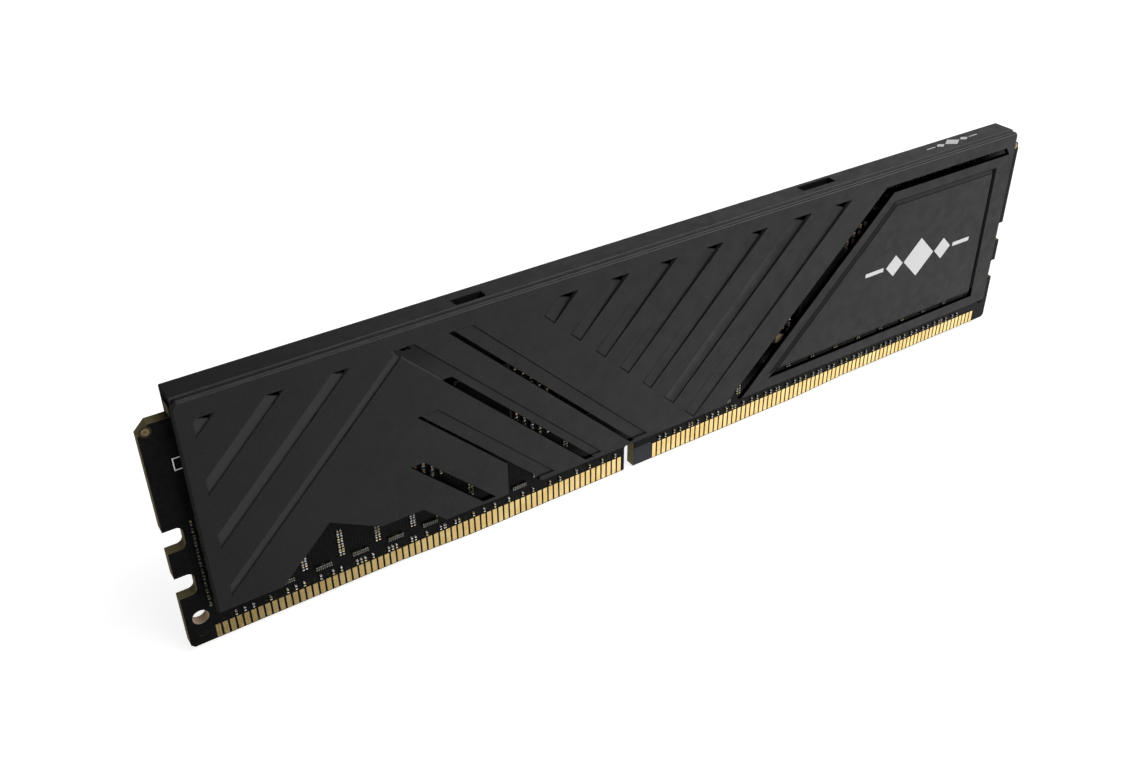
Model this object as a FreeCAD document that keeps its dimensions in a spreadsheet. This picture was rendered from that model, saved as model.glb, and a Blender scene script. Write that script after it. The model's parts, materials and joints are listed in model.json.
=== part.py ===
import FreeCAD, Part
import Sketcher
import math
import os

# A desktop memory module: a bowed-edge circuit board with its contacts, memory chips and
# small parts, between a front and a rear aluminium heat spreader. Millimetres, +Z up.
# Origin: middle of the board's thickness and length, on the lowest line of the contact edge.
# The front heat spreader faces -Y; +X runs along the module to the right of that face.

Vector = FreeCAD.Vector
doc = FreeCAD.newDocument("memory_module")
sheet = doc.addObject("Spreadsheet::Sheet", "sizes")

DRIVING_SIZES = [
    ("board_length", 133.35, "standard board length"),
    ("board_thickness", 1.4, "board thickness at the contact edge"),
    ("shoulder_height", 31.25, "standard board height, reached at both shoulders"),
    ("shoulder_chamfer", 1.2, "cut-off outer corner of each shoulder"),
    ("crown_height", 32.6, "board height between the shoulders"),
    ("crown_half", 63.2, "half length of the taller middle of the board"),
    ("foot_chamfer", 0.4, "cut-off bottom corner at each board end"),
    ("edge_bow", 0.5, "how far the contact edge is raised at both ends"),
    ("bow_left_start", -40.375, "where the edge starts to drop, left"),
    ("bow_right_end", 34.425, "where the edge has risen again, right"),
    ("bow_ramp", 10.2, "length of each sloping stretch of the edge"),
    ("side_notch_depth", 2.1, "latch notch depth"),
    ("side_notch_tall", 3.0, "latch notch height"),
    ("side_notch_low", 8.0, "bottom of the lower latch notch"),
    ("side_notch_high", 14.6, "bottom of the upper latch notch"),
    ("notch_radius", 0.75, "inner corner radius of the latch notches"),
    ("key_centre", -5.575, "middle of the key notch"),
    ("key_width", 1.5, "key notch width"),
    ("key_top", 4.2, "top of the key notch"),
    ("key_radius", 0.7, "upper corner radius of the key notch"),
    ("hole_radius", 0.95, "tooling hole radius"),
    ("hole_inset", 1.75, "tooling hole centre from the board end"),
    ("hole_height", 4.45, "tooling hole centre above the contact edge"),
    ("contact_pitch", 0.85, "contact pitch"),
    ("contact_width", 0.6, "contact width"),
    ("contact_top", 2.5, "top line of the contacts"),
    ("contact_lift", 0.15, "contacts stop this far above the board edge"),
    ("contact_thickness", 0.035, "plated copper thickness"),
    ("contact_places", 150, "contact places in one row, with the key gap counted"),
    ("contact_first", -63.325, "middle of the first contact"),
    ("key_gap_start", -6.8, "start of the stretch without contacts"),
    ("key_gap_end", -1.7, "end of the stretch without contacts"),
    ("chip_width", 7.5, "memory package width"),
    ("chip_height", 12.0, "memory package height"),
    ("chip_body", 0.8, "memory package thickness"),
    ("chip_bottom", 12.4, "bottom of the memory packages"),
    ("chip_pitch", 14.2, "spacing of the memory packages"),
    ("chip_left_first", -56.4, "middle of the first package left of the middle"),
    ("chip_right_first", 12.6, "middle of the first package right of the middle"),
    ("chip_mark_inset", 0.9, "first-pin mark from the package's edges"),
    ("chip_mark_radius", 0.35, "first-pin mark radius"),
    ("chip_mark_depth", 0.05, "first-pin mark depth"),
    ("ball_height", 0.25, "solder ball stand-off"),
    ("ball_radius", 0.22, "solder ball radius"),
    ("ball_pitch", 0.8, "solder ball pitch"),
    ("ball_rows", 13, "solder ball rows per package"),
    ("ball_block_offset", 2.4, "middle of each three-column block from the package middle"),
    ("group_pitch", 4.7, "spacing of the small-part groups"),
    ("group_outer_first", -59.5, "middle of the first group at the left end"),
    ("group_outer_count", 6, "groups in the left run"),
    ("group_inner_first", -32.5, "middle of the first group left of the key"),
    ("group_inner_count", 6, "groups in the run before the key"),
    ("group_right_first", 1.6, "middle of the first group right of the key"),
    ("group_right_count", 13, "groups in the right run"),
    ("key_clearance", 1.6, "space without small parts each side of the key"),
    ("array_middle", 4.7, "middle of the resistor arrays above the contact edge"),
    ("array_length", 2.1, "resistor array length"),
    ("array_width", 0.55, "resistor array width"),
    ("array_height", 0.35, "resistor array thickness"),
    ("array_end", 0.12, "resistor array terminal length"),
    ("array_lead", 0.13, "resistor array terminal width"),
    ("array_leads", 8, "terminals on each long side of an array"),
    ("column_left", -2.45, "first column of a group from the group's middle"),
    ("column_right", -2.05, "second column of a group from the group's middle"),
    ("column_low", 5.5, "lowest resistor of the columns"),
    ("column_step", 0.8, "spacing in the columns"),
    ("column_count", 5, "resistors in a column"),
    ("low_row_height", 3.15, "middle of the row just above the contacts"),
    ("low_row_places", 9, "places for that row's resistors in one group"),
    ("between_columns", 5, "capacitor columns between two packages"),
    ("between_low", 11.9, "lowest capacitor between two packages"),
    ("between_step", 1.0, "spacing of the capacitors in a column"),
    ("between_count", 15, "capacitors in a column"),
    ("between_spread", 1.4, "least spacing of the columns in the wide middle gap"),
    ("between_clearance", 1.6, "space kept each side of the board's middle"),
    ("upper_row_low", 28.0, "lowest row over the packages"),
    ("upper_row_step", 1.3, "spacing of the rows over the packages"),
    ("upper_rows", 3, "rows over the packages"),
    ("upper_first", -61.0, "first place of those rows"),
    ("upper_step", 1.3, "spacing along those rows"),
    ("upper_count", 94, "places along those rows"),
    ("left_end_x", -63.6, "outer column at the left board end"),
    ("left_end_second", -63.05, "inner column at the left board end"),
    ("left_end_low", 5.9, "lowest resistor at the left board end"),
    ("left_end_step", 0.98, "spacing at the left board end"),
    ("left_end_count", 13, "places at the left board end"),
    ("right_end_x", 63.75, "column at the right board end"),
    ("right_end_low", 10.2, "lowest resistor at the right board end"),
    ("right_end_step", 1.6, "spacing at the right board end"),
    ("right_end_count", 9, "places at the right board end"),
    ("resistor_length", 0.55, "small resistor length"),
    ("resistor_width", 0.27, "small resistor width"),
    ("resistor_height", 0.22, "small resistor thickness"),
    ("resistor_end", 0.13, "small resistor end cap length"),
    ("upper_length", 0.8, "length of the resistors over the packages"),
    ("upper_width", 0.4, "width of the resistors over the packages"),
    ("upper_height", 0.32, "thickness of the resistors over the packages"),
    ("upper_end", 0.18, "end cap length of the resistors over the packages"),
    ("capacitor_length", 0.7, "capacitor length"),
    ("capacitor_width", 0.36, "capacitor width"),
    ("capacitor_height", 0.36, "capacitor thickness"),
    ("capacitor_end", 0.17, "capacitor end cap length"),
    ("large_length", 1.8, "length of the large capacitor under the long vent"),
    ("large_width", 1.0, "width of the large capacitor"),
    ("large_height", 0.7, "thickness of the large capacitor"),
    ("large_end", 0.35, "end cap length of the large capacitor"),
    ("large_x", 19.8, "middle of the large capacitor"),
    ("large_z", 12.4, "middle of the large capacitor"),
    ("identity_width", 2.0, "identity memory chip width"),
    ("identity_depth", 0.75, "identity memory chip thickness"),
    ("identity_height", 3.0, "identity memory chip height"),
    ("identity_low", 16.9, "bottom of the identity memory chip"),
    ("spread_half", 63.35, "half length of the front heat spreader"),
    ("spread_bottom", 5.5, "bottom edge of both heat spreaders"),
    ("spread_top", 33.92, "top edge of the front heat spreader"),
    ("front_inner", 1.95, "inner face of the front heat spreader, in front of the mid-plane"),
    ("front_sheet", 0.65, "front heat spreader thickness"),
    ("front_corner_cut", 0.7, "cut-off top left corner of the front heat spreader"),
    ("front_corner_radius", 0.8, "rounded top right corner of the front heat spreader"),
    ("low_corner_radius", 0.4, "bottom corner radius of the front heat spreader"),
    ("front_edge_bevel", 0.22, "bevel along the front heat spreader's outer edge"),
    ("groove_pitch", 7.38, "sideways spacing of the 45 degree grooves"),
    ("rising_line", 90.55, "height minus x on the lower side of the first rising groove"),
    ("rising_chord", 1.95, "upright size of a left rising groove"),
    ("rising_left", -61.5, "left end of the left rising grooves"),
    ("rising_top", 31.35, "top line of the left rising grooves"),
    ("rising_depth", 0.18, "depth of the left rising grooves"),
    ("peak_line", 68.85, "height minus x on the lower side of the narrow rising groove"),
    ("peak_chord", 1.4, "upright size of the narrow rising groove"),
    ("peak_top", 31.6, "top line of the falling groove it meets"),
    ("falling_line", 2.35, "height plus x on the upper side of the first falling groove"),
    ("falling_depth", 0.14, "depth of the falling grooves"),
    ("falling_bottom", 6.5, "bottom line of the falling grooves"),
    ("middle_line", 31.9, "height minus x on the lower side of the third middle groove"),
    ("middle_chord", 2.7, "upright size of a middle groove"),
    ("middle_extra", 0.38, "extra size of the last two middle grooves, on their lower side"),
    ("middle_top", 31.65, "top line of the middle grooves"),
    ("middle_start", 9.95, "height plus x at the lower ends of the middle grooves"),
    ("middle_shallow", 0.05, "depth of a middle groove at its lower end"),
    ("middle_deep", 0.26, "depth of a middle groove at its upper end"),
    ("panel_top", 29.1, "top edge of the raised panel"),
    ("panel_bottom", 8.1, "bottom edge of the raised panel"),
    ("panel_right", 59.5, "right edge of the raised panel"),
    ("panel_line", -9.4, "height minus x on the slanted edge of the raised panel"),
    ("panel_rise", 0.2, "height of the raised panel"),
    ("panel_bevel", 0.6, "width of the raised panel's sloping edge"),
    ("vent_foot_left", 9.4, "left side of the long vent at the bottom edge"),
    ("vent_foot_width", 2.85, "level size of the long vent at the bottom edge"),
    ("vent_bend_left", 36.4, "left side of the long vent where it turns level"),
    ("vent_bend_right", 38.0, "lower side of the long vent where it turns level"),
    ("vent_top", 31.75, "upper side of the long vent's level stretch"),
    ("vent_level", 30.65, "lower side of the long vent's level stretch"),
    ("vent_right", 61.2, "right end of the long vent"),
    ("vent_end_slant", 0.8, "how far the long vent's right end leans"),
    ("window_line", 61.25, "height minus x on the left edge of the bottom opening"),
    ("window_peak", 12.1, "highest point of the bottom opening"),
    ("window_shelf", 8.6, "level stretch of the bottom opening's edge"),
    ("window_shelf_left", -43.0, "left end of that stretch"),
    ("window_fall", -28.9, "height plus x on the right edge of the bottom opening"),
    ("corner_window_left", -25.6, "upright edge of the small bottom opening"),
    ("low_vent_left", 17.5, "left end of the lower vent"),
    ("low_vent_bottom", 7.35, "bottom of the lower vent"),
    ("low_vent_top", 8.5, "top of the lower vent"),
    ("side_groove_left", 58.75, "left side of the upright groove beside the panel"),
    ("side_groove_width", 0.95, "width of the upright groove"),
    ("side_groove_top", 29.0, "top of the upright groove"),
    ("side_groove_depth", 0.5, "depth of the upright groove on its left side"),
    ("rear_inner", 1.05, "inner face of the rear heat spreader, behind the mid-plane"),
    ("rear_sheet", 0.8, "rear heat spreader and top cap thickness"),
    ("rear_half", 63.1, "half length of the rear heat spreader"),
    ("cap_top", 33.98, "top face of the rear heat spreader's cap"),
    ("cap_front", 1.72, "front edge of the cap, in front of the mid-plane"),
    ("cap_bevel", 0.15, "bevel along the cap's front edge"),
    ("bend_radius", 0.4, "outer bend radius between the cap and the rear plate"),
    ("rear_corner_radius", 0.8, "bottom corner radius of both heat spreaders"),
    ("rear_groove_depth", 0.2, "depth of the grooves in the rear heat spreader"),
    ("rear_groove_half", 58.5, "half length of the rear groove pattern"),
    ("rear_groove_top", 30.5, "top line of the rear grooves"),
    ("rear_groove_bottom", 8.5, "bottom line of the rear grooves"),
    ("rear_rising_line", 76.0, "height minus x on the lower side of the first rear rising groove"),
    ("rear_falling_line", 53.0, "height plus x on the lower side of the first rear falling groove"),
    ("slot_left_start", -30.5, "left slot in the cap"),
    ("slot_left_end", -26.65, "left slot in the cap"),
    ("slot_left_front", -1.3, "left slot in the cap"),
    ("slot_left_back", 0.0, "left slot in the cap"),
    ("slot_right_start", 22.6, "right slot in the cap"),
    ("slot_right_end", 28.35, "right slot in the cap"),
    ("slot_right_front", -0.4, "right slot in the cap"),
    ("slot_right_back", 0.95, "right slot in the cap"),
    ("hook_clearance", 0.25, "space between a hook and its slot"),
    ("hook_sheet", 0.3, "hook thickness"),
    ("hook_underside", 32.75, "underside of the hooks, above the board's top edge"),
    ("hook_tip_top", 33.32, "top of a hook's turned-up tip, inside its slot"),
    ("label_width", 44.0, "rear label width"),
    ("label_height", 15.0, "rear label height"),
    ("label_thickness", 0.1, "rear label thickness"),
    ("label_recess", 0.12, "depth of the rear label's recess"),
    ("label_margin", 0.25, "space between the label and its recess"),
    ("label_x", 10.0, "middle of the rear label"),
    ("label_z", 18.0, "middle of the rear label"),
    ("ink_thickness", 0.02, "printed ink thickness"),
    ("emblem_x", 45.2, "middle of the panel's emblem"),
    ("emblem_z", 18.6, "middle of the panel's emblem"),
    ("emblem_half", 3.1, "half size of the emblem's large diamond"),
    ("cap_emblem_x", 52.0, "middle of the cap's emblem"),
    ("cap_emblem_y", 0.15, "middle of the cap's emblem"),
    ("cap_emblem_half", 1.5, "half length of the cap emblem's diamond"),
    ("frame_left", -63.95, "left side of the printed square"),
    ("frame_low", 24.75, "bottom of the printed square"),
    ("frame_side", 1.6, "side of the printed square"),
    ("frame_line", 0.13, "line width of the printed square"),
    ("fiducial_radius", 0.42, "alignment mark radius"),
    ("fiducial_inset", 0.85, "alignment mark from the board end"),
    ("fiducial_drop", 0.8, "alignment mark below the shoulder"),
]


class Size:
    """A length worked out from the sheet's cells, kept with the formula that gives it."""

    def __init__(self, value, text):
        self.value = value
        self.text = text

    def join(self, other, sign, result):
        return Size(result, f"({self.text} {sign} {other.text})")

    def __add__(self, other):
        other = as_size(other)
        return self.join(other, "+", self.value + other.value)

    def __sub__(self, other):
        other = as_size(other)
        return self.join(other, "-", self.value - other.value)

    def __mul__(self, other):
        other = as_size(other)
        return self.join(other, "*", self.value * other.value)

    def __truediv__(self, other):
        other = as_size(other)
        return self.join(other, "/", self.value / other.value)

    def __radd__(self, other):
        return as_size(other) + self

    def __rsub__(self, other):
        return as_size(other) - self

    def __rmul__(self, other):
        return as_size(other) * self

    def __neg__(self):
        return Size(-self.value, f"(0 - {self.text})")


def as_size(value):
    return value if isinstance(value, Size) else Size(float(value), f"{float(value):.6f}")


cells = {}
for row, (alias, number, note) in enumerate(DRIVING_SIZES, 1):
    sheet.set(f"A{row}", note)
    sheet.set(f"B{row}", str(number))
    sheet.setAlias(f"B{row}", alias)
    cells[alias] = Size(float(number), f"sizes.{alias}")
doc.recompute()


def size(alias):
    return cells[alias]


# ---------------------------------------------------------------- helpers

parts = []


def new_body(label):
    body = doc.addObject("PartDesign::Body", label)
    body.Label = label
    body.AllowCompound = True
    parts.append(body)
    return body


def origin_feature(body, role):
    for feature in body.Origin.OriginFeatures:
        if feature.Role == role:
            return feature
    raise ValueError(role)


def bind_vertex(sketch, line, end, x, z):
    """Hold one end of a line at a place given by two formulas."""
    for kind, coordinate in (("DistanceX", x), ("DistanceY", z)):
        index = sketch.addConstraint(Sketcher.Constraint(kind, -1, 1, line, end, coordinate.value))
        sketch.setExpression(f"Constraints[{index}]", coordinate.text)


def add_loop(sketch, points):
    """Closed outline through the points, each bound to the sheet by its formulas."""
    points = [(as_size(x), as_size(z)) for x, z in points]
    first = len(sketch.Geometry)
    count = len(points)
    for i, (x, z) in enumerate(points):
        nx, nz = points[(i + 1) % count]
        sketch.addGeometry(Part.LineSegment(Vector(x.value, z.value, 0), Vector(nx.value, nz.value, 0)))
    for i, (x, z) in enumerate(points):
        after = first + (i + 1) % count
        sketch.addConstraint(Sketcher.Constraint("Coincident", first + i, 2, after, 1))
        bind_vertex(sketch, first + i, 1, x, z)


def add_circle(sketch, x, z, radius):
    x, z, radius = as_size(x), as_size(z), as_size(radius)
    circle = Part.Circle(Vector(x.value, z.value, 0), Vector(0, 0, 1), radius.value)
    index = sketch.addGeometry(circle)
    bind_vertex(sketch, index, 3, x, z)
    rule = sketch.addConstraint(Sketcher.Constraint("Radius", index, radius.value))
    sketch.setExpression(f"Constraints[{rule}]", radius.text)


def new_sketch(body, name, plane, offset):
    """Empty sketch on one of the body's origin planes, moved along the plane's normal."""
    sketch = body.newObject("Sketcher::SketchObject", name)
    sketch.AttachmentSupport = [(origin_feature(body, plane), "")]
    sketch.MapMode = "FlatFace"
    sketch.setExpression(".AttachmentOffset.Base.z", as_size(offset).text)
    return sketch


def front_sketch(body, name, forward, loops):
    """Sketch in a plane facing the front, `forward` in front of the mid-plane."""
    sketch = new_sketch(body, name, "XZ_Plane", forward)
    for loop in loops:
        add_loop(sketch, loop)
    return sketch


def pad(body, name, sketch, length, reverse=False, middle=False):
    feature = body.newObject("PartDesign::Pad", name)
    feature.Profile = sketch
    feature.setExpression("Length", as_size(length).text)
    feature.Reversed = reverse
    if middle:
        feature.SideType = "Symmetric"
    doc.recompute()
    return feature


def pocket(body, name, sketch, length=None, reverse=False):
    """Cut the sketch away, to a depth or right through, and make sure that it cut."""
    before = body.Shape.Volume
    feature = body.newObject("PartDesign::Pocket", name)
    feature.Profile = sketch
    feature.Reversed = reverse
    if length is None:
        feature.Type = "ThroughAll"
    else:
        feature.setExpression("Length", as_size(length).text)
    doc.recompute()
    if body.Shape.Volume >= before:
        raise RuntimeError(f"{name} cut nothing")
    return feature


def edges_where(feature, test):
    """Names of the feature's edges whose end points all pass the test."""
    names = []
    for i, edge in enumerate(feature.Shape.Edges, 1):
        if all(test(vertex.Point) for vertex in edge.Vertexes):
            names.append(f"Edge{i}")
    return names


def corner_edges(feature, test):
    """Names of the edges that run straight through the sheet, front to back, and pass the test."""
    names = []
    for name in edges_where(feature, test):
        first, last = feature.Shape.getElement(name).Vertexes
        if near(first.X, last.X) and near(first.Z, last.Z):
            names.append(name)
    return names


def dress(body, kind, name, feature, edges, amount):
    """Fillet or chamfer the named edges."""
    if not edges:
        raise RuntimeError(f"{name} found no edges")
    result = body.newObject(f"PartDesign::{kind}", name)
    result.Base = (feature, edges)
    result.setExpression("Radius" if kind == "Fillet" else "Size", as_size(amount).text)
    doc.recompute()
    return result


def near(a, b):
    return abs(a - b) < 1e-4


def boxes_part(label, boxes):
    """One node of many small separate blocks, each given as corner and size."""
    part = doc.addObject("Part::Feature", label)
    part.Label = label
    solids = [Part.makeBox(*size_mm, Vector(*corner)) for corner, size_mm in boxes]
    part.Shape = Part.makeCompound(solids)
    part.Placement = FreeCAD.Placement()
    parts.append(part)
    return part


# ---------------------------------------------------------------- circuit board

half_board = size("board_length") / 2
half_thick = size("board_thickness") / 2


def contact_edge(lift):
    """The bowed contact edge from left to right, raised by `lift`, without the key notch."""
    raised = size("edge_bow") + lift
    low = as_size(lift)
    return [
        (size("bow_left_start"), raised),
        (size("bow_left_start") + size("bow_ramp"), low),
        (size("bow_right_end") - size("bow_ramp"), low),
        (size("bow_right_end"), raised),
    ]


def board_end(side):
    """One end of the board from the bottom corner up to the crown; side is -1 or 1."""
    end = side * half_board
    inner = side * (half_board - size("side_notch_depth"))
    foot = size("foot_chamfer")
    points = [(side * (half_board - foot), size("edge_bow")), (end, size("edge_bow") + foot)]
    for low in (size("side_notch_low"), size("side_notch_high")):
        high = low + size("side_notch_tall")
        points += [(end, low), (inner, low), (inner, high), (end, high)]
    chamfer = size("shoulder_chamfer")
    points += [
        (end, size("shoulder_height") - chamfer),
        (side * (half_board - chamfer), size("shoulder_height")),
        (side * size("crown_half"), size("shoulder_height")),
        (side * size("crown_half"), size("crown_height")),
    ]
    return points


def make_board():
    body = new_body("circuit_board")
    edge = contact_edge(0)
    key_left = size("key_centre") - size("key_width") / 2
    key_right = size("key_centre") + size("key_width") / 2
    key = [(key_left, 0), (key_left, size("key_top")), (key_right, size("key_top")), (key_right, 0)]
    outline = edge[:2] + key + edge[2:] + board_end(1) + board_end(-1)[::-1]
    board = pad(body, "board_pad", front_sketch(body, "board_outline", 0, [outline]),
                size("board_thickness"), middle=True)
    holes = new_sketch(body, "tooling_holes", "XZ_Plane", half_thick)
    for side in (-1, 1):
        add_circle(holes, side * (half_board - size("hole_inset")), size("hole_height"), size("hole_radius"))
    board = pocket(body, "tooling_hole_cut", holes)
    inner = (half_board - size("side_notch_depth")).value
    notch = corner_edges(board, lambda p: near(abs(p.x), inner))
    board = dress(body, "Fillet", "notch_corners", board, notch, size("notch_radius"))
    key_edges = corner_edges(board, lambda p: near(p.z, size("key_top").value))
    dress(body, "Fillet", "key_corners", board, key_edges, size("key_radius"))


def make_contacts(label, face):
    """A row of contact pads on one face; face is 1 for the front and -1 for the rear."""
    body = new_body(label)
    left = size("contact_first") - size("contact_width") / 2
    right = size("contact_first") + size("contact_width") / 2
    pad_loop = [(left, 0), (right, 0), (right, size("contact_top")), (left, size("contact_top"))]
    forward = half_thick if face > 0 else -half_thick
    first = pad(body, label + "_pad", front_sketch(body, label + "_sketch", forward, [pad_loop]),
                size("contact_thickness"), reverse=face < 0)
    row = body.newObject("PartDesign::LinearPattern", label + "_row")
    row.Originals = [first]
    row.Direction = (origin_feature(body, "X_Axis"), [""])
    row.setExpression("Length", (size("contact_pitch") * (size("contact_places") - 1)).text)
    row.setExpression("Occurrences", size("contact_places").text)
    body.Tip = row
    doc.recompute()
    edge = contact_edge(size("contact_lift"))
    below = [(-half_board, -1), (half_board, -1), (half_board, edge[3][1])] + edge[::-1]
    below.append((-half_board, edge[0][1]))
    gap = [(size("key_gap_start"), size("contact_top") + 1), (size("key_gap_end"), size("contact_top") + 1),
           (size("key_gap_end"), -1), (size("key_gap_start"), -1)]
    far = forward + size("contact_thickness") if face > 0 else forward
    trim = front_sketch(body, label + "_trim", far, [below])
    pocket(body, label + "_trim_cut", trim)
    clear = front_sketch(body, label + "_gap", far, [gap])
    pocket(body, label + "_gap_cut", clear)


# ---------------------------------------------------------------- chips and small parts

def chip_middles():
    lefts = [size("chip_left_first") + i * size("chip_pitch") for i in range(4)]
    rights = [size("chip_right_first") + i * size("chip_pitch") for i in range(4)]
    return lefts + rights


def rectangle(x0, z0, x1, z1):
    return [(x0, z0), (x1, z0), (x1, z1), (x0, z1)]


def make_chip(label, middle):
    """Moulded memory package with a round first-pin mark."""
    body = new_body(label)
    low = size("chip_bottom")
    high = low + size("chip_height")
    loop = rectangle(middle - size("chip_width") / 2, low, middle + size("chip_width") / 2, high)
    base = half_thick + size("ball_height")
    pad(body, label + "_pad", front_sketch(body, label + "_outline", base, [loop]), size("chip_body"))
    mark = new_sketch(body, label + "_mark", "XZ_Plane", base + size("chip_body"))
    inset = size("chip_mark_inset")
    add_circle(mark, middle - size("chip_width") / 2 + inset, high - inset, size("chip_mark_radius"))
    pocket(body, label + "_mark_cut", mark, size("chip_mark_depth"))


def make_solder_balls():
    part = doc.addObject("Part::Feature", "chip_solder_balls")
    part.Label = "chip_solder_balls"
    pitch = size("ball_pitch").value
    rows = int(size("ball_rows").value)
    front = half_thick.value
    middle_z = (size("chip_bottom") + size("chip_height") / 2).value
    balls = []
    for middle in chip_middles():
        for block in (-1, 1):
            for column in (-1, 0, 1):
                x = middle.value + block * size("ball_block_offset").value + column * pitch
                for row in range(rows):
                    z = middle_z + (row - (rows - 1) / 2) * pitch
                    start = Vector(x, -front, z)
                    balls.append(Part.makeCylinder(size("ball_radius").value, size("ball_height").value,
                                                   start, Vector(0, -1, 0)))
    part.Shape = Part.makeCompound(balls)
    part.Placement = FreeCAD.Placement()
    parts.append(part)


def chip_pair(places, length, width, height, end, upright):
    """Bodies and end caps of two-terminal parts centred on the places, on the board's front face."""
    bodies, caps = [], []
    low_y = -half_thick.value - height
    for x, z in places:
        if upright:
            corner = (x - width / 2, low_y, z - length / 2 + end)
            bodies.append((corner, (width, height, length - 2 * end)))
            for z0 in (z - length / 2, z + length / 2 - end):
                caps.append(((x - width / 2, low_y, z0), (width, height, end)))
        else:
            corner = (x - length / 2 + end, low_y, z - width / 2)
            bodies.append((corner, (length - 2 * end, height, width)))
            for x0 in (x - length / 2, x + length / 2 - end):
                caps.append(((x0, low_y, z - width / 2), (end, height, width)))
    return bodies, caps


# Small parts stand in groups along the board. Each group has one resistor array and two upright
# columns to its left. The row just above the contacts is uneven: each letter x is a resistor and
# each dot an empty place, one text for each run of groups.
LOW_ROWS = (
    ".x.x.x...x...x.x.x...x..x.x...xxx.x...xxx...xx..x....x",
    "xx..xx...x..x..x...x...x..x....x..x....x...x...x...x..",
    "x.x..x.x..xx.x..x.x.x..x.xx..x..x.x..x.x.xx..x..x.x.x..x.xx..x.x..x.x..x.xx.x..x..x.x.x..xx.x..x"
    ".x..x.x..x.xx.x..x.x.",
)


def mm(alias):
    return size(alias).value


def whole(alias):
    return int(size(alias).value)


def group_runs():
    """First group middle and number of groups of each run."""
    return [(mm(f"group_{run}_first"), whole(f"group_{run}_count")) for run in ("outer", "inner", "right")]


def group_middles():
    return [first + mm("group_pitch") * i for first, count in group_runs() for i in range(count)]


def part_sizes(kind):
    return [mm(f"{kind}_{side}") for side in ("length", "width", "height", "end")]


def resistor_arrays(face):
    """Four-element resistor arrays: ceramic bodies and their end terminals."""
    length, width, height, end = part_sizes("array")
    lead = mm("array_lead")
    base = half_thick.value
    low_y = -base - height if face > 0 else base
    bodies, leads = [], []
    step = length / mm("array_leads")
    low_z = mm("array_middle") - width / 2
    for middle in group_middles():
        bodies.append(((middle - length / 2, low_y, low_z + end), (length, height, width - 2 * end)))
        for i in range(whole("array_leads")):
            x = middle - length / 2 + (i + 0.5) * step - lead / 2
            for z in (low_z, low_z + width - end):
                leads.append(((x, low_y, z), (lead, height, end)))
    return bodies, leads


def low_row_places():
    """The uneven row of resistors just above the contacts, kept clear of the key notch."""
    places = []
    step = mm("group_pitch") / mm("low_row_places")
    for (first, count), row in zip(group_runs(), LOW_ROWS):
        for i, mark in enumerate(row[:count * whole("low_row_places")]):
            x = first - mm("group_pitch") / 2 + (i + 0.5) * step
            if mark == "x" and abs(x - mm("key_centre")) > mm("key_clearance"):
                places.append((x, mm("low_row_height")))
    return places


def small_resistor_places():
    """Upright resistors: two columns in each group, the row over the contacts, both board ends."""
    places = low_row_places()
    for middle in group_middles():
        for column in ("column_left", "column_right"):
            for row in range(whole("column_count")):
                places.append((middle + mm(column), mm("column_low") + mm("column_step") * row))
    for i in range(whole("left_end_count")):
        z = mm("left_end_low") + mm("left_end_step") * i
        places.append((mm("left_end_x"), z))
        if i % 3 != 1:
            places.append((mm("left_end_second"), z + mm("left_end_step") / 4))
    for i in range(whole("right_end_count")):
        places.append((mm("right_end_x"), mm("right_end_low") + mm("right_end_step") * i))
    return places


def capacitor_places():
    """Upright capacitors in the columns between the packages, with room for the large one."""
    places = []
    middles = [m.value for m in chip_middles()]
    half_width = mm("chip_width") / 2
    for a, b in zip(middles, middles[1:]):
        gap = b - a - 2 * half_width
        columns = max(whole("between_columns"), int(gap / mm("between_spread")) - 1)
        for column in range(columns):
            x = a + half_width + gap * (column + 1) / (columns + 1)
            if abs(x) < mm("between_clearance"):
                continue
            for row in range(whole("between_count")):
                z = mm("between_low") + mm("between_step") * row
                beside = abs(x - mm("large_x")) > mm("large_length")
                above = abs(z - mm("large_z")) > mm("large_width") / 2 + mm("capacitor_length") / 2
                if beside or above:
                    places.append((x, z))
    return places


def upper_row_places():
    """Level resistors in the rows over the packages."""
    places = []
    for number in range(whole("upper_rows")):
        z = mm("upper_row_low") + mm("upper_row_step") * number
        for i in range(whole("upper_count")):
            if (i + number) % 4 != 1:
                places.append((mm("upper_first") + mm("upper_step") * i, z))
    return places


def make_small_parts():
    for face, side in ((1, "front"), (-1, "rear")):
        bodies, leads = resistor_arrays(face)
        boxes_part(f"resistor_array_bodies_{side}", bodies)
        boxes_part(f"resistor_array_leads_{side}", leads)
    bodies, caps = chip_pair(capacitor_places(), *part_sizes("capacitor"), upright=True)
    large_place = [(mm("large_x"), mm("large_z"))]
    more_bodies, more_caps = chip_pair(large_place, *part_sizes("large"), upright=False)
    boxes_part("capacitor_bodies", bodies + more_bodies)
    boxes_part("capacitor_end_caps", caps + more_caps)
    bodies, caps = chip_pair(upper_row_places(), *part_sizes("upper"), upright=False)
    more_bodies, more_caps = chip_pair(small_resistor_places(), *part_sizes("resistor"), upright=True)
    boxes_part("resistor_bodies", bodies + more_bodies)
    boxes_part("resistor_end_caps", caps + more_caps)
    identity = [mm(f"identity_{side}") for side in ("width", "depth", "height")]
    corner = (-identity[0] / 2, -half_thick.value - identity[1], mm("identity_low"))
    boxes_part("presence_memory_chip", [(corner, identity)])


# ---------------------------------------------------------------- heat spreaders

def rising_loop(line, chord, left, top):
    """Groove rising to the right at 45 degrees, ended by an upright and a level line."""
    upper = line + chord
    return [(left, left + line), (top - line, top), (top - upper, top), (left, left + upper)]


def opening_loop(line, chord, top):
    """Low triangular opening between the slanted end of a groove and its level top line."""
    upper = line + chord
    drop = chord * OPENING_DROP
    return [(top - upper, top), (top - line - drop, top - drop), (top - line, top)]


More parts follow.
